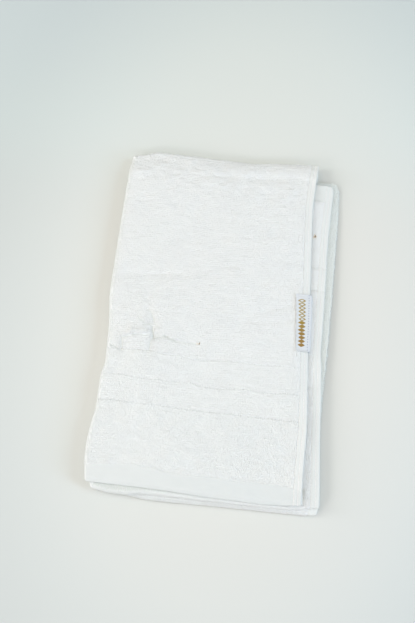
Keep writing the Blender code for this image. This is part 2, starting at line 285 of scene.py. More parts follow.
# Steps of the sheet's mesh.
STEPS = {"tuck": 0.0045, "back": 0.0120, "lid": 0.0024}
OUTER_STEP, INNER_STEP = 0.0025, 0.0100
RIM, RIM_STEP = 0.0010, 0.00025
LINE_STEP = 0.0005
HEM_STEP = 0.0016
STEP_GAP = 0.0002
SIDE_LINE_STEP = 0.0004
FOLD_ROWS = 14
HAIRPIN_COLUMNS = 6
DECIMALS = 6  # to which places of the mesh are rounded

# ---- The label ----
LABEL = 0.0004  # thickness of its tape
LABEL_CLEARANCE = 0.00045  # between the tape and the cloth
LABEL_ENDS = (0.0280, -0.0292)  # y of its two cut edges
LABEL_REACH = (0.0145, 0.0121)  # how far its upper flap reaches in from the selvedge at each of them
LABEL_UNDER_REACH = 0.0090
LABEL_FRAY, FRAY_SIZE, FRAY_SEED = 0.0004, 0.0014, 3
EDGE_CURL, EDGE_CURL_FROM, EDGE_CURL_RUN = 0.0006, 0.8, 0.2  # height, and shares of the upper flap's width
END_CURL, END_CURL_FROM, END_CURL_RUN = 0.0005, 0.47, 0.03  # and of its length from its middle
LABEL_COLUMNS = (44, 8, 7)  # of the mesh, on the upper flap, round the selvedge and on the lower flap
LABEL_ROWS = 189
WOVEN_WIDTH = 0.0127  # of the upper flap, as woven
HIDDEN = -0.01  # for the lower flap, so that no motif falls on it
LABEL_RIB = 0.0006
LABEL_STITCH_PITCH = 0.0026
LABEL_STITCH_INSET = 0.0012  # from the selvedge
LOZENGES = 13
LOZENGES_HOLLOW = 6
LOZENGE_PITCH = 0.0037
LOZENGE_FILL = 0.50
LOZENGE_FULLNESS = 1.25
HOLLOW_REACH = 0.45
LOZENGE_START = 0.0048
LOZENGE_CENTRE = 0.0073
LOZENGE_HALF_WIDTH = 0.0034

# ---- The pile ----
ROW_PITCH = 0.00205  # from one row of loops to the next, along the cloth
LOOP_PITCH = 0.00100  # and from one loop to the next in a row
LOOP_LENGTH = 0.0029
LOOP_HEIGHT = 0.00047
YARN_RADIUS = 0.00040
BARE_MARGIN = 0.00132  # from a bare line to the nearest rows
PRESSED_LEVEL = 0.0001  # no loop reaches lower than this over the floor
ROW_JITTER, LOOP_JITTER = 0.09, 0.12  # of the two pitches
SIZE_JITTER = 0.06
PILE_STREAKS = 0.20  # how much the height of the pile varies
STREAK_SIZES = (0.0046, 0.0023)
STREAK_STRETCH = 3
COARSE_SHARE, FINE_SHARE = 0.5, 0.6
TUFTS = 0.7  # how much the loops of the top fold stand out in tufts
TUFT_SIZE = 0.0032
PARTED_SINKS = 0.6  # of their height, what loops lose where they part
FOLD_PARTING_AND_SHADE = 0.6  # how far the loops part over the fold at the left, from 0 to 1, and how much painted shade darkens them there
FOLD_PARTED = 0.0040

# How loops turn, lean sideways and lean lengthways: each by itself, and in drifts of that size.
Sway = namedtuple("Sway", "jitter drift size")
SWAYS = (Sway(0.15, 0.25, 0.007), Sway(0.12, 0.30, 0.006), Sway(0.10, 0.30, 0.006))

# The lid's pile above its grooves, between them and below them, with painted shade that darkens it further
# down the lid.
Stretch = namedtuple("Stretch", "loose tall dull")
STRETCHES = (Stretch(1.0, 1.0, 0.0), Stretch(0.6, 0.80, 0.11), Stretch(1.25, 0.88, 0.16))
NO_BAND = (math.inf, math.inf)

# The pile of the tuck and of the bottom fold, with how much painted shade darkens it at the folded edge and
# at the selvedge.
TUCK_TALL, LOW_TALL, SIDE_TALL = 0.6, 0.3, 0.5  # shares of the height of the lid's pile
LOW_PAINTED_SHADE, END_PAINTED_SHADE, FOLD_PAINTED_SHADE = (1.0, 1.0), (1.0, 0.40), (0.45, 0.0)
TUCK_STRIP = 0.0320  # of the width of the tuck's outer ply, beside the lid
LOW_SHOWING, LOW_INSET = 0.0090, 0.0004  # from its inner ply's selvedge, where the pile starts and ends
TUCK_SHOWING = 0.0185  # of the tuck's length, below the end hem of the lid

# Loops that hang over the selvedge of the tuck's inner ply.
FUZZ_PITCH = 0.0007
FUZZ_LENGTH = 0.0022
FUZZ_HEIGHT = 0.0007
FUZZ_RADIUS = 0.00028
FUZZ_START = 0.0010
FUZZ_INSET = 0.0006
FUZZ_JITTER = {"place": 0.25, "turn": 0.5, "size": 0.2, "lean": 0.3}
FUZZ_SEED = 130

STITCH_PITCH = 0.0030
STITCH_LENGTH = 0.0026
STITCH_WOBBLE = 0.05
STITCH_SEED = 7
STITCH_LINES = (SIDE_HEM * 0.92, SIDE_HEM * 0.45)  # from the selvedge
THREAD_RADIUS = 0.00022  # and the height of a stitch, and its depth


def through(points, at):
    """Values at several places of a smooth curve through points, each (place, value), in rising order."""
    places, values = np.array(points, float).T
    slopes = np.gradient(values, places)
    slopes[1:-1] = (values[2:] - values[:-2]) / (places[2:] - places[:-2])
    at = np.clip(at, places[0], places[-1])
    i = np.clip(np.searchsorted(places, at) - 1, 0, len(places) - 2)
    step = places[i + 1] - places[i]
    t = (at - places[i]) / step
    rise = values[i + 1] - values[i]
    a = slopes[i] * step - rise
    b = rise - slopes[i + 1] * step
    return values[i] + t * rise + t * (1 - t) * ((1 - t) * a + t * b)


def edge(panel, side, y):
    column = EDGE_COLUMNS.index(side)
    return through([(row[0], row[column]) for row in sorted(EDGES[panel])], y)


def smooth_step(share):
    share = np.clip(share, 0.0, 1.0)
    return share * share * (3 - 2 * share)


def mix(a, b, share):
    return a + share * (b - a)


def layer_height(layer):
    return CLOTH / 2 + layer * PITCH


def fold_radius(ply):
    apart = LAYER["lid", ply] - LAYER["back", ply]
    return (apart * PITCH - TOP_FOLD_DROP) / 2


def soft_noise(x, y, size, seed):
    """Smooth noise from -1 to 1 over a plane, with lumps of that size."""
    cells, start = 64, 500
    u, v = np.asarray(x) / size + start, np.asarray(y) / size + start
    values = np.random.default_rng(seed).uniform(-1, 1, (cells, cells))
    i, j = np.floor(u).astype(int), np.floor(v).astype(int)
    s, t = smooth_step(u - i), smooth_step(v - j)
    corner = [[values[(i + a) % cells, (j + b) % cells] for b in (0, 1)] for a in (0, 1)]
    return mix(*(mix(*pair, t) for pair in corner), s)


def along_crease(crease, x, y):
    """How near points are to a crease: 1 on it, and falling to 0 beside it."""
    run_x, run_y = crease.x1 - crease.x0, crease.y1 - crease.y0
    off_x, off_y = x - crease.x0, y - crease.y0
    share = np.clip((off_x * run_x + off_y * run_y) / (run_x**2 + run_y**2), 0, 1)
    away = np.hypot(off_x - share * run_x, off_y - share * run_y)
    return np.exp(-((away / crease.half_width) ** 2))


def crease_relief(panel, x, y):
    return sum(crease.height * along_crease(crease, x, y) for crease in CREASES[panel])


def parting(panel, x, y):
    """How far the pile is parted, from 0 to 1, along the narrow troughs, which also sets the painted shade
    in them.
    """
    parted_and_shaded = 0 * x
    for crease in CREASES.get(panel, ()):
        if crease.height < 0 and crease.half_width < PARTED_BELOW:
            depth = min(1.0, -crease.height / PARTED_DEPTH)
            parted_and_shaded = np.maximum(parted_and_shaded, depth * along_crease(crease, x, y))
    return parted_and_shaded


def stain_depth(x, y):
    depth = 0 * x
    for stain in STAINS:
        away = np.hypot(x - stain.x, y - stain.y) / stain.reach
        depth = np.maximum(depth, stain.depth * smooth_step(STAIN_EDGE - away))
    return depth


def uneven(x, y, height):
    """That height in the stack, raised by the waves in proportion."""
    share = (height - CLOTH / 2) / STACK_HEIGHT
    for wave in WAVES:
        swell = np.sin(wave.x_rate * x + wave.x_phase) * np.sin(wave.y_rate * y + wave.y_phase)
        height = height + wave.height * (1 + swell) * share
    return height


def resting(panel, ply, x, y):
    """The height of a panel's ply: its level in the stack, its dip, its sag and its creases."""
    height = layer_height(LAYER[panel, ply]) + 0 * x
    if panel == "lid":
        past_tuck = y - through(TUCK_END["inner"], x) - DIP_SETBACK
        height -= TOP_FOLD_DROP * smooth_step(past_tuck / DIP_LENGTH)
        height -= OVERHANG_SAG["lid"] * np.maximum(0.0, edge("tuck", "folded", y) - x) ** 2
        if ply == "outer":
            height += crease_relief(panel, x, y)
            sag = OVERHANG_SAG["lid"] * smooth_step((y - LIFT_BELOW) / LIFT_RUN + 1)
            height -= sag * np.maximum(0.0, x - edge("lid", "inner", y)) ** 2
            lift = smooth_step((LIFT_BELOW - y) / LIFT_RUN) * smooth_step((x - LIFT_INSIDE) / LIFT_WIDTH)
            height += CORNER_LIFT * lift
            from_end = y - through(LID_END, x)
            height -= END_DROOP * smooth_step(1 - from_end / END_DROOP_RUN) * (1 - lift)
            ruffled = smooth_step((y - RUFFLED_ABOVE) / RUFFLED_RUN)
            for k, swell in enumerate(SWELLS):
                lumps = soft_noise(x / swell.stretch, y, swell.size, SWELL_SEED + k)
                height += (swell.height + swell.ruffle * ruffled) * lumps
    if panel == "tuck":
        height -= OVERHANG_SAG["tuck"] * np.maximum(0.0, x - edge("back", "inner", y)) ** 2
        if ply == "outer":
            height += crease_relief(panel, x, y)
    return uneven(x, y, height)


def span(panel, ply, x):
    """y of the first and the last row of a panel, in the order in which the cloth runs."""
    top = through(TOP_FOLD, x) - CLOTH / 2 - fold_radius("outer")
    if panel == "lid":
        return top, through(LID_END, x) + (LID_INNER_SETBACK if ply == "inner" else 0.0)
    if ply == "inner":
        from_tuck = to_back = through(UPPER_LIP, x) + INNER_FOLD_SETBACK
    else:
        from_tuck = through(UPPER_LIP, x) + CLOTH / 2 + LIP_PROFILE[0].inset
        to_back = through(LOWER_LIP, x) + CLOTH / 2 + LIP_PROFILE[-1].inset
    return (through(TUCK_END[ply], x), from_tuck) if panel == "tuck" else (to_back, top)


def weft_wiggle(x, number):
    """How far a weft line strays from its smooth course."""
    apart = 0 * x + LINES_APART * number
    return sum(stray.reach * soft_noise(x, apart, stray.size, stray.seed + number) for stray in LINE_STRAYS)


def panel_y(panel, ply, share, x):
    """y at a share of a panel's length. The lid's rows follow its weft lines."""
    start, end = span(panel, ply, x)
    if panel != "lid":
        return mix(start, end, share)
    lines = [start, *(through(line, x) + weft_wiggle(x, k) for k, line in enumerate(LID_LINES)), end]
    k = np.clip(np.searchsorted(LID_SHARES, share) - 1, 0, len(LID_SHARES) - 2)
    shares = np.array(LID_SHARES)
    stacked = np.array([line + 0 * share for line in lines])
    low, high = (np.take_along_axis(stacked, np.asarray(i)[None], 0)[0] for i in (k, k + 1))
    return mix(low, high, (share - shares[k]) / (shares[k + 1] - shares[k]))


def across(folded, selvedge, share):
    return mix(folded + CLOTH / 2 + PITCH / 2, selvedge, share)


def squared(value):
    """A sine or cosine raised so that the arc it draws is squarer than a circle."""
    return np.sign(value) * np.abs(value) ** FOLD_SQUARENESS


def ply_point(part, share_along, ply, share_over):
    """Points of the middle of the cloth, on a panel or in a fold, in one ply."""
    if part in ("tuck", "back", "lid"):
        y = panel_y(part, ply, share_along, 0 * share_along)
        x = across(edge(part, "folded", y), edge(part, ply, y), share_over)
        y = panel_y(part, ply, share_along, x)
        return np.stack([x, y, resting(part, ply, x, y)], -1)
    panels = ("tuck", "back") if part == "bottom fold" else ("back", "lid")
    y_fold = span(panels[0], ply, np.zeros(1))[1][0]
    sides = (mix(*(edge(panel, side, y_fold) for panel in panels), share_along) for side in ("folded", ply))
    x = across(*sides, share_over)
    angle = np.pi * share_along
    if part == "bottom fold" and ply == "outer":
        steps = np.linspace(0, 1, len(LIP_PROFILE))
        lean, inset, height = (through(list(zip(steps, c)), share_along) for c in zip(*LIP_PROFILE))
        y = mix(through(UPPER_LIP, x), through(LOWER_LIP, x), lean) + CLOTH / 2 + inset
    elif part == "bottom fold":
        y = span("tuck", ply, x)[1] - PITCH / 2 * np.sin(angle)
        height = (layer_height(1) + layer_height(2)) / 2 + PITCH / 2 * np.cos(angle)
    else:
        radius = fold_radius(ply)
        bulge = radius - (INNER_FOLD_SLACK if ply == "inner" else 0.0)
        y = span("back", ply, x)[1] + bulge * squared(np.sin(angle))
        height = layer_height(0) + fold_radius("outer") - radius * squared(np.cos(angle))
    return np.stack([x, y, uneven(x, y, height)], -1)


def cloth_point(part, share_along, ply, share_over):
    """Points of the middle of the cloth. The hairpin joins the inner ply to the outer one."""
    share_along, share_over = np.broadcast_arrays(np.asarray(share_along, float), share_over)
    if ply != "hairpin":
        return ply_point(part, share_along, ply, share_over)
    inner, outer = (ply_point(part, share_along, side, 0 * share_over) for side in ("inner", "outer"))
    half = (outer - inner) / 2
    bulge = np.minimum(np.linalg.norm(half, axis=-1), PITCH / 2)
    angle = np.pi * share_over[..., None]
    point = (inner + outer) / 2 - half * np.cos(angle)
    point[..., 0] -= bulge * np.sin(angle[..., 0])
    return point


def cloth_frame(part, share_along, ply, share_over):
    """Places on the cloth, with the directions along it, across it and out of its outer face."""
    steps = np.array([[0.002], [-0.002]])
    ahead, behind = cloth_point(part, np.clip(share_along + steps, 0, 1), ply, share_over)
    right, left = cloth_point(part, share_along, ply, np.clip(share_over + steps, 0, 1))
    along, over = ahead - behind, right - left
    along /= np.linalg.norm(along, axis=-1, keepdims=True)
    out = np.cross(along, over)
    out /= np.linalg.norm(out, axis=-1, keepdims=True)
    return cloth_point(part, share_along, ply, share_over), along, np.cross(out, along), out


# ---- Making meshes ----
def mesh_object(name, points, faces, material):
    """A mesh of quads, placed in the frame."""
    mesh = bpy.data.meshes.new(name)
    mesh.from_pydata((points + LID_CENTRE).reshape(-1, 3).tolist(), [], faces.reshape(-1, 4).tolist())
    mesh.shade_smooth()
    mesh.materials.append(material)
    item = bpy.data.objects.new(name, mesh)
    bpy.context.scene.collection.objects.link(item)
    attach(item, "root")
    return item


def grid_faces(rows, columns):
    """The quads between that many rows and columns of points."""
    corner = np.arange((rows - 1) * columns).reshape(rows - 1, columns)[:, :-1].ravel()
    return np.stack([corner, corner + columns, corner + columns + 1, corner + 1], -1)


def add_attributes(item, **values):
    for name, value in values.items():
        attribute = item.data.attributes.new(name, "FLOAT", "POINT")
        attribute.data.foreach_set("value", np.asarray(value, np.float32).ravel())


def thicken(item, thickness, shares=None):
    """Real thickness, or at each point that share of it, to two decimals."""
    solidify = item.modifiers.new("Thickness", "SOLIDIFY")
    solidify.thickness = thickness
    solidify.offset = 0.0
    if shares is None:
        return
    group = item.vertex_groups.new(name="thickness")
    rounded = np.round(shares, 2)
    for share in np.unique(rounded):
        group.add(np.flatnonzero(rounded == share).tolist(), float(share), "REPLACE")
    solidify.vertex_group = group.name


# ---- The sheet ----
def spaced(length, step, finer):
    """Shares of a length from 0 to 1, a step apart, with finer steps in the stretches (from, to, step)."""
    places = list(np.linspace(0, length, round(length / step) + 1))
    for low, high, fine_step in finer:
        low, high = max(low, 0.0), min(high, length)
        places = [p for p in places if not low - fine_step < p < high + fine_step or p in (0.0, length)]
        places += list(np.linspace(low, high, round((high - low) / fine_step) + 1))
    places = np.unique(np.round(places, DECIMALS))
    return np.clip(places / length, 0, 1)


def around(place, reach, step):
    return place - reach, place + reach, step


def sheet_rows():
    """(part, share along it, distance from the tuck's end) of each row."""
    near, end = 2 * LINE_STEP, LENGTHS["lid"] - RIM
    finer = {
        "lid": [
            *(around(groove, 2 * near, LINE_STEP) for groove in LID_GROOVES),
            (LID_SEAM - near, LID_SEAM + 2 * near, LINE_STEP),
            (LID_SEAM + 2 * near + STEP_GAP, end - STEP_GAP, HEM_STEP),
            (end, LENGTHS["lid"], RIM_STEP),
        ],
        "tuck": [
            (0.0, RIM, RIM_STEP),
            around(END_HEM, near, LINE_STEP),
            *(around(groove, 1.5 * near, 1.5 * LINE_STEP) for groove in TUCK_GROOVES),
        ],
    }
    rows, start = [], 0.0
    for part, length in LENGTHS.items():
        shares = spaced(length, STEPS.get(part, length / FOLD_ROWS), finer.get(part, ()))
        rows += [(part, share, start + share * length) for share in shares[(part != "tuck") :]]
        start += length
    return rows


def sheet_columns():
    """(ply, share over it, distance from the folded edge) of each column, negative in the inner ply."""
    near, rim = 2 * SIDE_LINE_STEP, (HALF_WIDTH - RIM, HALF_WIDTH, RIM_STEP)
    hem = around(HALF_WIDTH - SIDE_HEM, 0.75 * near, SIDE_LINE_STEP)
    line = around(HALF_WIDTH - SIDE_HEM / 2, near, SIDE_LINE_STEP)
    outer = spaced(HALF_WIDTH, OUTER_STEP, (hem, line, rim))
    inner = spaced(HALF_WIDTH, INNER_STEP, (hem, rim))
    columns = [("inner", share, -share * HALF_WIDTH) for share in inner[::-1]]
    columns += [("hairpin", share, 0.0) for share in np.linspace(0, 1, HAIRPIN_COLUMNS + 2)[1:-1]]
    columns += [("outer", share, share * HALF_WIDTH) for share in outer]
    return columns


def line_dip(distance, half_width):
    """1 on a line, and falling to 0 beside it."""
    return np.exp(-((distance / half_width) ** 2))


def build_sheet(material):
    parts, shares_along, along = (np.array(values) for values in zip(*sheet_rows()))
    plies, shares_over, over = (np.array(values) for values in zip(*sheet_columns()))
    points = np.zeros((len(along), len(over), 3))
    for part in LENGTHS:
        for ply in ("inner", "hairpin", "outer"):
            i, j = np.ix_(parts == part, plies == ply)
            points[i, j] = cloth_point(part, shares_along[i], ply, shares_over[j])
    length, lid = sum(LENGTHS.values()), LENGTHS["lid"]
    along, over = np.meshgrid(along, over, indexing="ij")
    from_side = HALF_WIDTH - np.abs(over)
    lid_hem = (1 - LID_SHARES[4]) * lid
    from_end = np.minimum(along - END_HEM, length - lid_hem - along)
    hem = 1 - smooth_step((np.minimum(from_side - SIDE_HEM, from_end) + HEM_BLEND / 2) / HEM_BLEND)
    half = mix(GROUND_HALF, HEM_HALF, hem)
    grooves = [*TUCK_GROOVES, *(length - lid + groove for groove in LID_GROOVES)]
    groove = sum(line_dip(along - g, GROOVE_HALF_WIDTH) for g in grooves) * (from_side > SIDE_HEM)
    at_edge, in_middle, at_end = SEAM_HALF_WIDTHS
    seams = line_dip(from_side - SIDE_HEM, at_edge) + line_dip(from_side - SIDE_HEM / 2, in_middle)
    seams = seams + 0.5 * line_dip(from_end, at_end) * (from_side > SIDE_HEM)
    half = half - GROOVE_DEPTH * groove - SEAM_DEPTH * seams
    to_rim = np.minimum(from_side, np.minimum(along, length - along))
    rim = np.clip(1 - to_rim / EDGE_ROUNDING, 0, 1)
    half = half * np.sqrt(np.maximum(1 - rim**2, EDGE_THINNEST))
    pale = np.where(length - along < lid_hem, END_PALENESS, 1.0) * (from_side < SIDE_HEM)
    on_tuck = along < LENGTHS["tuck"]
    sheet = mesh_object("towel_sheet", points, grid_faces(*along.shape), material)
    add_attributes(
        sheet,
        hem=hem,
        # Painted shade mask of the grooves.
        bare=np.clip(groove, 0, 1),
        stain=stain_depth(points[..., 0], points[..., 1]),
        pale=np.maximum(pale, on_tuck),
        # Painted shade mask: the tuck's inner ply, which lies in the shadow of the plies above.
        low=(plies == "inner") * on_tuck,
        along=along,
        across=over,
    )
    thicken(sheet, 2 * HEM_HALF, half.ravel() / HEM_HALF)
    return sheet


# ---- Loops of yarn ----
# A loop's rings, from one foot to the other: how far along it, how high, and their tilt in radians.
RINGS = ((-0.50, -0.3, 0.1), (-0.36, 0.62, 0.75), (0.0, 1.0, 1.57), (0.36, 0.62, 2.39), (0.50, -0.3, 3.04))
SIDES = (math.pi, math.pi / 2, 0.0)  # a loop is the upper half of a round yarn


def loop_corners():
    """Vectors of a loop's corners by its length, by its height and by the radius of its yarn."""
    corners = []
    for place, height, tilt in RINGS:
        for turn in SIDES:
            out = math.sin(turn)
            by_radius = (-math.cos(tilt) * out, math.cos(turn), math.sin(tilt) * out)
            corners.append(((place, 0, 0), (0, 0, height), by_radius))
    return np.array(corners, float).swapaxes(0, 1)


def build_loops(name, place, along, over, out, length, height, radius, turn, lean, material):
    """Loops of yarn at those places, each turned about its upright and leaning lengthways and sideways."""
    by_length, by_height, by_radius = loop_corners()
    count = len(place)

    def column(value):
        return np.broadcast_to(np.asarray(value, float), count)[:, None, None]

    local = column(length) * by_length + column(height) * by_height + column(radius) * by_radius
    local[..., 0] += np.maximum(local[..., 2], 0) * column(lean[0])[..., 0]
    local[..., 1] += np.maximum(local[..., 2], 0) * column(lean[1])[..., 0]
    cos, sin = np.cos(column(turn))[..., 0], np.sin(column(turn))[..., 0]
    x, y = local[..., 0] * cos - local[..., 1] * sin, local[..., 0] * sin + local[..., 1] * cos
    points = place[:, None] + x[..., None] * along[:, None] + y[..., None] * over[:, None]
    points = points + local[..., 2:3] * out[:, None]
    points[..., 2] = np.maximum(points[..., 2], PRESSED_LEVEL)
    faces = grid_faces(len(RINGS), len(SIDES)) + (np.arange(count) * len(by_length))[:, None, None]
    return mesh_object(name, points, faces, material)


def pile_rows(low, high, bare_lines=()):
    """Places of the rows of loops along a panel, with a gap at each bare line."""
    rows, start = [], low + ROW_PITCH / 2
    for line in (*bare_lines, None):
        end = high - ROW_PITCH / 2 if line is None else line - BARE_MARGIN
        rows += list(np.linspace(start, end, max(1, round((end - start) / ROW_PITCH)) + 1))
        start = end + 2 * BARE_MARGIN
    return rows


def streaks(x, y, seed):
    """Noise of fine and coarse lumps, which are longer across the cloth than along it."""
    coarse, fine = (soft_noise(x / STREAK_STRETCH, y, size, seed + k) for k, size in enumerate(STREAK_SIZES))
    return FINE_SHARE * fine + COARSE_SHARE * coarse


def build_pile(name, part, ply, rows, columns, material, seed, band=NO_BAND, tall=1.0, dull=(0.0, 0.0)):
    """Loops in rows over one ply of a part of the cloth, between two distances from its folded edge.

    The band holds where the second stretch begins and where the third does. The two shares of painted shade
    are those at the folded edge and at the selvedge.
    """
    rng = np.random.default_rng(seed)
    width = HAIRPIN_LENGTH if ply == "hairpin" else HALF_WIDTH
    loops = np.arange(columns[0], columns[1], LOOP_PITCH) + LOOP_PITCH / 2
    along, over = np.meshgrid(rows, loops, indexing="ij")
    over = over + rng.uniform(0, LOOP_PITCH, len(rows))[:, None]
    along = along + rng.normal(0, ROW_JITTER, along.shape) * ROW_PITCH
    over = over + rng.normal(0, LOOP_JITTER, along.shape) * LOOP_PITCH
    keep = over < columns[1]
    along, over = along[keep], over[keep]
    share_along = np.clip(along / LENGTHS[part], 0, 1)
    place, run, side, out = cloth_frame(part, share_along, ply, over / width)
    x, y = place[:, :2].T
    count = len(place)
    loose, taller, stretch_shade = np.array(STRETCHES)[np.searchsorted(band, along)].T
    at_fold = {"outer": smooth_step(1 - over / FOLD_PARTED), "hairpin": 1.0, "inner": 0.0}[ply]
    parted_and_shaded = np.maximum(parting(part, x, y), FOLD_PARTING_AND_SHADE * at_fold)
    tufts = TUFTS * soft_noise(x, 0 * x, TUFT_SIZE, seed + 6) if part == "top fold" else 0.0
    dull = np.interp(over, (0.0, HALF_WIDTH), dull) + stretch_shade
    uneven_height = PILE_STREAKS * streaks(x, y, seed + 1) + rng.normal(0, SIZE_JITTER, count) + tufts
    height = tall * taller * LOOP_HEIGHT * (1 + loose * uneven_height) * (1 - PARTED_SINKS * parted_and_shaded)
    length = LOOP_LENGTH * (1 + rng.normal(0, SIZE_JITTER, count) * loose)
    turn, lean, tip = (
        loose * (rng.normal(0, sway.jitter, count) + sway.drift * soft_noise(x, y, sway.size, seed + k))
        for k, sway in enumerate(SWAYS, 3)
    )
    radius = YARN_RADIUS * (1 + rng.normal(0, SIZE_JITTER, count))
    foot = place + out * GROUND_HALF
    pile = build_loops(name, foot, run, side, out, length, height, radius, turn, (tip, lean), material)
    corners = len(RINGS) * len(SIDES)
    # Painted shade: the loops darken where the pile parts and by the shares of painted shade.
    shaded = np.maximum(parted_and_shaded, dull)
    add_attributes(pile, shade=np.repeat(shaded, corners), stain=np.repeat(stain_depth(x, y), corners))
    return pile


def build_stitches(panel, material):
    """Rows of straight stitches on the selvedge hem of a panel's outer ply."""
    along = np.arange(0.0, LENGTHS[panel], STITCH_PITCH) + STITCH_PITCH / 2
    along, inset = (grid.ravel() for grid in np.meshgrid(along, STITCH_LINES))
    share_along, share_over = along / LENGTHS[panel], 1 - inset / HALF_WIDTH
    place, run, side, out = cloth_frame(panel, share_along, "outer", share_over)
    wobble = np.random.default_rng(STITCH_SEED).normal(0, STITCH_WOBBLE, len(along))
    foot = place + out * (HEM_HALF - THREAD_RADIUS)
    size = (STITCH_LENGTH, THREAD_RADIUS, THREAD_RADIUS)
    return build_loops(f"seam_{panel}", foot, run, side, out, *size, wobble, (0, 0), material)


def build_fuzz(material):
    """Short loops that hang over the selvedge of the tuck's inner ply."""
    rng, jitter, tuck = np.random.default_rng(FUZZ_SEED), FUZZ_JITTER, LENGTHS["tuck"]
    along = np.arange(FUZZ_START, tuck, FUZZ_PITCH)
    count = len(along)
    along = along + rng.normal(0, jitter["place"], count) * FUZZ_PITCH
    share_over = 1 - np.abs(rng.normal(0, FUZZ_INSET, count)) / HALF_WIDTH
    place, run, side, out = cloth_frame("tuck", along / tuck, "inner", share_over)
    turn = math.pi / 2 + rng.normal(0, jitter["turn"], count)
    length, height = (s * (1 + rng.normal(0, jitter["size"], count)) for s in (FUZZ_LENGTH, FUZZ_HEIGHT))
    lean = [rng.normal(0, jitter["lean"], count) for _ in range(2)]
    fuzz = build_loops("fuzz_tuck", place, run, side, out, length, height, FUZZ_RADIUS, turn, lean, material)
    # Painted shade: the fuzz is darkened in full, as it lies in the shadow of the plies above.
    add_attributes(fuzz, shade=np.ones(len(fuzz.data.vertices)))
    return fuzz


def build_all_pile(material):
    """The loops of every face of the cloth that shows."""
    tuck = LENGTHS["tuck"]
    hem, strip = HALF_WIDTH - SIDE_HEM, HALF_WIDTH - TUCK_STRIP
    pieces = []

    def add(name, part, ply, rows, columns, seed, **looks):
        pieces.append(build_pile(f"pile_{name}", part, ply, rows, columns, material, seed, **looks))

    for k, rows in enumerate(np.array_split(pile_rows(0.0, LID_SEAM, LID_GROOVES), 4)):
        add(f"lid_{k + 1}", "lid", "outer", rows, (0.0, hem), 10 + 10 * k, band=LID_GROOVES[::2])
    add("tuck", "tuck", "outer", pile_rows(END_HEM, tuck), (strip, hem), 60, tall=TUCK_TALL)
    rows = pile_rows(tuck - TUCK_SHOWING, tuck)
    add("tuck_end", "tuck", "outer", rows, (0.0, strip), 120, tall=TUCK_TALL, dull=END_PAINTED_SHADE)
    low = (HALF_WIDTH - LOW_SHOWING, HALF_WIDTH - LOW_INSET)
    add("tuck_low", "tuck", "inner", pile_rows(0.0, tuck), low, 140, tall=LOW_TALL, dull=LOW_PAINTED_SHADE)
    pieces.append(build_fuzz(material))
    bottom, top = (pile_rows(0.0, LENGTHS[part]) for part in ("bottom fold", "top fold"))
    add("bottom_fold", "bottom fold", "outer", bottom, (0.0, hem), 70, tall=TUCK_TALL, dull=FOLD_PAINTED_SHADE)
    add("top_fold", "top fold", "outer", top, (0.0, hem), 80)
    for part, end, seed in (("lid", LID_SEAM, 90), ("tuck", tuck, 100), ("back", LENGTHS["back"], 110)):
        rows = pile_rows(0.0, end)
        add(f"side_{part}", part, "hairpin", rows, (0.0, HAIRPIN_LENGTH), seed, tall=SIDE_TALL)
    return pieces


# ---- The label ----
def build_label(material):
    """A tape round the selvedge of the lid, with a row of woven lozenges on its upper flap."""
    flap, bend, below = LABEL_COLUMNS
    upper, turned = np.linspace(-1, 0, flap + 1)[:-1], np.linspace(0, 1, bend + 1)[:-1]
    under = np.linspace(0, 1, below + 1)
    share = np.linspace(0, 1, LABEL_ROWS + 1)[:, None]
    y = mix(*LABEL_ENDS, share)
    selvedge = edge("lid", "outer", y)
    off = CLOTH / 2 + LABEL_CLEARANCE + LABEL / 2
    reach = mix(*LABEL_REACH, share)
    frayed = LABEL_FRAY * soft_noise(y, 0 * y, FRAY_SIZE, FRAY_SEED)
    flap_x = selvedge + (reach + frayed) * upper
    curl = EDGE_CURL * smooth_step((-upper - EDGE_CURL_FROM) / EDGE_CURL_RUN)
    curl = curl + END_CURL * smooth_step((np.abs(share - 0.5) - END_CURL_FROM) / END_CURL_RUN)
    flap_z = resting("lid", "outer", flap_x, y + 0 * upper) + off + curl
    level = resting("lid", "outer", selvedge, y)
    turn_x, turn_z = selvedge + off * np.sin(np.pi * turned), level + off * np.cos(np.pi * turned)
    under_x = selvedge - LABEL_UNDER_REACH * under
    under_z = resting("lid", "outer", under_x, y + 0 * under) - off
    x, z = (np.concatenate(parts, 1) for parts in ((flap_x, turn_x, under_x), (flap_z, turn_z, under_z)))
    points = np.stack([x, y + 0 * x, z], -1)
    label = mesh_object("label_tape", points, grid_faces(*x.shape), material)
    inward = np.concatenate([-upper * WOVEN_WIDTH, 0 * turned, 0 * under + HIDDEN])[None]
    down = LABEL_ENDS[0] - y
    add_attributes(label, motif=lozenges(inward, down), inward=inward + 0 * y, down=0 * inward + down)
    thicken(label, LABEL)
    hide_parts("side_label")


def lozenges(inward, down):
    """1 inside the row of lozenges, by the distances in from the selvedge and down from the upper end."""
    place = (down - LOZENGE_START) / LOZENGE_PITCH
    number = np.floor(place)
    off_down = np.abs(place - number - 0.5) * 2
    off_across = np.abs(inward - LOZENGE_CENTRE) / LOZENGE_HALF_WIDTH
    away = (off_down * 0.5 / LOZENGE_FILL) ** LOZENGE_FULLNESS + off_across**LOZENGE_FULLNESS
    inside = (away < 1) & (number >= 0) & (number < LOZENGES)
    hollow = (away < HOLLOW_REACH) & (number < LOZENGES_HOLLOW)
    return inside & ~hollow


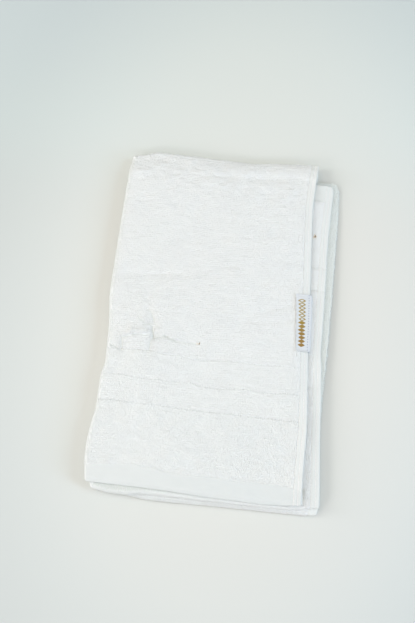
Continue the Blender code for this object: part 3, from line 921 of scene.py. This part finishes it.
# ---- Materials ----
class Nodes:
    """A material's nodes. Each value that goes into one is a plain value or another node's output."""

    def __init__(self, name, colour, roughness, sockets):
        self.material = bpy.data.materials.new(name)
        self.material.use_nodes = True
        self.tree = self.material.node_tree
        self.shader = self.tree.nodes["Principled BSDF"]
        for socket, value in {"Base Color": colour, "Roughness": roughness, **sockets}.items():
            self.feed(self.shader.inputs[socket], value)

    def feed(self, socket, value):
        if isinstance(value, bpy.types.NodeSocket):
            self.tree.links.new(value, socket)
        else:
            socket.default_value = (*value, 1.0) if socket.type == "RGBA" else value

    def add(self, kind, values=(), output=0, **settings):
        """The output of a new node that has those settings, and those values in its inputs."""
        node = self.tree.nodes.new(kind)
        for name, setting in settings.items():
            setattr(node, name, setting)
        for key, value in dict(values).items():
            self.feed(node.inputs[key], value)
        return node.outputs[output]

    def math(self, operation, *values):
        return self.add("ShaderNodeMath", enumerate(values), operation=operation)

    def vector(self, operation, *values):
        output = "Value" if operation == "LENGTH" else "Vector"
        return self.add("ShaderNodeVectorMath", enumerate(values), output, operation=operation)

    def step(self, value, low, high):
        values = {"Value": value, "From Min": low, "From Max": high}
        return self.add("ShaderNodeMapRange", values, interpolation_type="SMOOTHSTEP")

    def wave(self, place, pitch):
        return self.math("SINE", self.math("MULTIPLY", place, 2 * math.pi / pitch))

    def noise(self, scale, detail):
        return self.add("ShaderNodeTexNoise", {"Vector": self.place(), "Scale": scale, "Detail": detail})

    def attribute(self, name):
        return self.add("ShaderNodeAttribute", output="Fac", attribute_name=name)

    def place(self):
        return self.add("ShaderNodeTexCoord", output="Object")

    def blend(self, share, first, second):
        """A mix of two colours."""
        return self.add("ShaderNodeMix", {0: share, 6: first, 7: second}, 2, data_type="RGBA")

    def mottled(self, colour, darkest, scale, detail):
        """The colour, in lumps that go down to a share of it."""
        return self.blend(self.noise(scale, detail), tuple(darkest * channel for channel in colour), colour)

    def bump(self, height, distance, strength):
        values = {"Height": height, "Distance": distance, "Strength": strength}
        self.feed(self.shader.inputs["Normal"], self.add("ShaderNodeBump", values))

    def painted(self, colour):
        """The material, with that colour on it."""
        self.feed(self.shader.inputs["Base Color"], colour)
        return self.material


PILE_WHITE = (0.895, 0.922, 0.920)
# Painted shade of the pile, blended in by the shade attribute where the loops part or lie in shadow.
PILE_SHADE = (0.77, 0.81, 0.78)
HEM_WHITE = (0.753, 0.787, 0.771)
SIDE_WHITE = (0.800, 0.826, 0.800)
LOW_SHADED_WHITE = (0.670, 0.705, 0.670)  # painted shade on the inner ply of the tuck, which lies lowest, in the shadow of the plies above
THREAD_WHITE = (0.95, 0.93, 0.93)
STAIN_OCHRE = (0.70, 0.42, 0.12)
STAIN_BROWN = (0.05, 0.025, 0.01)
# Painted shade in the grooves, where the bare ground lies deep between the rows of loops.
GROOVE_SHADE_GREY = (0.70, 0.73, 0.73)
LABEL_WHITE = (0.755, 0.777, 0.760)
# Painted shade in the low parts of the tape's weave.
LABEL_SHADE = (0.65, 0.68, 0.71)
LABEL_STITCH = (0.36, 0.39, 0.48)
OCHRE = (0.345, 0.247, 0.040)
UMBER = (0.300, 0.180, 0.035)
SHEEN = {"Sheen Weight": 0.1, "Sheen Roughness": 0.6}
WEAVE_PITCH = 0.0007


def stained(nodes, colour):
    """The colour with the stains on it, which go from ochre to dark brown."""
    stain = nodes.attribute("stain")
    pale = nodes.math("MINIMUM", nodes.math("MULTIPLY", stain, 2.0), 1.0)
    dark = nodes.math("MAXIMUM", nodes.math("SUBTRACT", nodes.math("MULTIPLY", stain, 2.0), 1.0), 0.0)
    return nodes.blend(dark, nodes.blend(pale, colour, STAIN_OCHRE), STAIN_BROWN)


def pile_material():
    nodes = Nodes("terry_pile", PILE_WHITE, 0.95, SHEEN)
    tint = nodes.mottled(PILE_WHITE, darkest=0.985, scale=180.0, detail=2.0)
    # Painted shade: the shade attribute darkens the pile towards PILE_SHADE.
    return nodes.painted(stained(nodes, nodes.blend(nodes.attribute("shade"), tint, PILE_SHADE)))


def thread_material():
    nodes = Nodes("thread", THREAD_WHITE, 0.6, SHEEN)
    return nodes.painted(nodes.mottled(THREAD_WHITE, darkest=0.96, scale=700.0, detail=2.0))


def cloth_material():
    """The hems' plain weave, and the ground of the pile with its rows, each with its own relief."""
    nodes = Nodes("terry_ground", HEM_WHITE, 0.9, SHEEN)
    hem, bare, along, over = (nodes.attribute(name) for name in ("hem", "bare", "along", "across"))
    weave = nodes.math("MULTIPLY", nodes.wave(along, WEAVE_PITCH), nodes.wave(over, WEAVE_PITCH))
    rows = nodes.math("MULTIPLY", nodes.wave(along, ROW_PITCH), 0.4)
    loops = nodes.math("ADD", rows, nodes.noise(scale=900.0, detail=2.0))
    relief = {0: hem, 2: loops, 3: nodes.math("MULTIPLY", weave, 0.25)}
    nodes.bump(nodes.add("ShaderNodeMix", relief, data_type="FLOAT"), distance=0.0004, strength=0.6)
    tint = nodes.mottled(HEM_WHITE, darkest=0.97, scale=60.0, detail=3.0)
    tint = nodes.blend(nodes.attribute("pale"), tint, SIDE_WHITE)
    # Painted shade on the tuck's inner ply, which lies lowest.
    tint = nodes.blend(nodes.attribute("low"), tint, LOW_SHADED_WHITE)
    # Painted shade: the ground darkens to grey in the grooves.
    ground = nodes.blend(bare, PILE_WHITE, GROOVE_SHADE_GREY)
    return nodes.painted(stained(nodes, nodes.blend(hem, ground, tint)))


def label_material():
    """Woven tape, with its motif going from ochre to umber, and a line of stitches along the selvedge."""
    nodes = Nodes("satin_tape", LABEL_WHITE, 0.6, {"Sheen Weight": 0.2, "Sheen Roughness": 0.4})
    motif, inward, down = (nodes.attribute(name) for name in ("motif", "inward", "down"))
    ribs = nodes.math("MULTIPLY", nodes.wave(down, LABEL_RIB), 0.15)
    woven = nodes.math("ADD", ribs, nodes.noise(scale=1300.0, detail=2.0))
    nodes.bump(woven, distance=0.0002, strength=0.5)
    # Painted shade: the tape darkens where its woven relief dips.
    ground = nodes.blend(nodes.step(woven, low=0.40, high=0.75), LABEL_SHADE, LABEL_WHITE)
    off_line = nodes.math("ABSOLUTE", nodes.math("SUBTRACT", inward, LABEL_STITCH_INSET))
    on_line = nodes.math("SUBTRACT", 1.0, nodes.step(off_line, low=0.0002, high=0.0005))
    beat = nodes.step(nodes.wave(down, LABEL_STITCH_PITCH), low=0.0, high=0.4)
    ground = nodes.blend(nodes.math("MULTIPLY", on_line, beat), ground, LABEL_STITCH)
    ink = nodes.blend(nodes.step(down, low=0.020, high=0.045), OCHRE, UMBER)
    return nodes.painted(nodes.blend(motif, ground, ink))


def floor_material():
    """A plain surface with painted light falloff: its colour darkens and cools away from the towel, as the
    light on it would.
    """
    nodes = Nodes("floor_painted_falloff", FLOOR_COLOUR, 0.7, {"Specular IOR Level": 0.3})
    away = nodes.vector("SUBTRACT", nodes.place(), (*FLOOR_CENTRE, 0.0))
    away = nodes.vector("MULTIPLY", away, (1 / FLOOR_REACH[0], 1 / FLOOR_REACH[1], 0.0))
    away = nodes.vector("LENGTH", away)
    outer, rim = (nodes.step(away, *shares) for shares in (OUTER_SHARES, RIM_SHARES))
    y = nodes.add("ShaderNodeSeparateXYZ", {0: nodes.place()}, "Y")
    far, cool = (nodes.step(y, start, start + run) for start, run in (FAR_BLEND, COOL_BLEND))
    tint = nodes.blend(outer, FLOOR_COLOUR, FLOOR_OUTER)
    tint = nodes.blend(rim, tint, nodes.blend(far, FLOOR_RIM, FLOOR_FAR))
    tint = nodes.blend(nodes.math("MULTIPLY", cool, COOLNESS), tint, FLOOR_COOL)
    nodes.bump(nodes.noise(scale=40.0, detail=4.0), distance=0.0003, strength=0.1)
    return nodes.painted(tint)


# ---- Stage, light and camera ----
# Painted light: the floor's colours darken and cool away from the towel, as the light falls off.
FLOOR_COLOUR = (0.724, 0.728, 0.684)
FLOOR_OUTER = (0.659, 0.694, 0.670)  # where the light begins to fall off
FLOOR_RIM = (0.545, 0.587, 0.574)
FLOOR_FAR = (0.542, 0.592, 0.600)
FLOOR_COOL = (0.67, 0.86, 0.86)
COOLNESS = 0.15
FLOOR_CENTRE = (0.032, 0.030)
FLOOR_REACH = (0.235, 0.370)
OUTER_SHARES, RIM_SHARES = (0.35, 1.10), (0.75, 1.50)  # of the reach, over which their colours come in
FAR_BLEND, COOL_BLEND = (0.19, 0.20), (0.10, 0.14)  # from which y, and over what distance
FLOOR_SIZE = 6.0
FLOOR_LEVEL = -0.0001
PICTURE = (415, 623)
FOCAL_PIXELS = 570.0
SENSOR = 36.0
CAMERA_PLACE = (0.048422, -0.141444, 0.558140)
CAMERA_TURN = (19.25995, 15.75866, -14.20237)  # yaw, tilt and roll, in degrees

Lamp = namedtuple("Lamp", "name place size power colour")
LAMPS = (
    Lamp("overhead", (0.00, 0.30, 1.60), 1.80, 6.4, (1.00, 0.82, 0.66)),
    Lamp("front", (0.05, -1.30, 1.20), 0.45, 3.2, (0.89, 0.96, 0.96)),
    Lamp("low_front", (0.05, -1.60, 0.40), 0.60, 1.1, (0.86, 0.96, 0.94)),
    Lamp("left", (-1.10, 0.10, 0.90), 0.50, 4.5, (0.90, 0.99, 0.93)),
    Lamp("low_left", (-1.25, 0.00, 0.50), 0.30, 3.5, (0.90, 0.88, 1.00)),
    Lamp("lower_left", (-0.90, -0.90, 0.70), 0.40, 4.2, (0.96, 0.86, 0.94)),
    Lamp("right", (1.20, 0.10, 0.90), 0.50, 6.5, (0.61, 0.83, 1.00)),
    Lamp("low_right", (1.20, -0.30, 0.50), 0.30, 4.0, (0.56, 0.70, 1.00)),
    Lamp("top", (0.00, 1.30, 1.00), 0.60, 0.9, (1.00, 0.88, 0.83)),
)
SKY = (1.0, 0.955, 0.90)
SKY_STRENGTH = 0.42


def build_camera():
    data = bpy.data.cameras.new("camera")
    data.sensor_width = SENSOR
    data.lens = FOCAL_PIXELS / max(PICTURE) * SENSOR
    data.clip_start = 0.01
    camera = bpy.data.objects.new("camera", data)
    yaw, tilt, roll = (math.radians(turn) for turn in CAMERA_TURN)
    turn = Euler((0, 0, yaw)).to_matrix() @ Euler((tilt, 0, 0)).to_matrix() @ Euler((0, 0, roll)).to_matrix()
    camera.matrix_world = turn.to_4x4()
    camera.location = np.add(CAMERA_PLACE, LID_CENTRE)
    bpy.context.scene.collection.objects.link(camera)
    bpy.context.scene.camera = camera


def build_stage():
    bpy.ops.mesh.primitive_plane_add(size=FLOOR_SIZE, location=(0, 0, FLOOR_LEVEL))
    floor = bpy.context.object
    floor.name = "floor"
    floor.data.materials.append(floor_material())
    for lamp in LAMPS:
        data = bpy.data.lights.new(lamp.name, "AREA")
        data.size = lamp.size
        data.energy = lamp.power
        data.color = lamp.colour
        item = bpy.data.objects.new(lamp.name, data)
        item.location = lamp.place
        aim = -item.location.normalized()
        item.rotation_mode = "QUATERNION"
        item.rotation_quaternion = aim.to_track_quat("-Z", "Y")
        bpy.context.scene.collection.objects.link(item)
    world = bpy.data.worlds.new("sky")
    world.use_nodes = True
    sky = world.node_tree.nodes["Background"]
    sky.inputs["Color"].default_value = (*SKY, 1.0)
    sky.inputs["Strength"].default_value = SKY_STRENGTH
    bpy.context.scene.world = world
    bpy.context.scene.view_settings.view_transform = "Standard"


build_camera()
build_stage()
sheet = build_sheet(cloth_material())
pile = build_all_pile(pile_material())
thread = thread_material()
pile += [build_stitches(panel, thread) for panel in ("lid", "tuck")]
build_label(label_material())
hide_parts("towel_cloth")
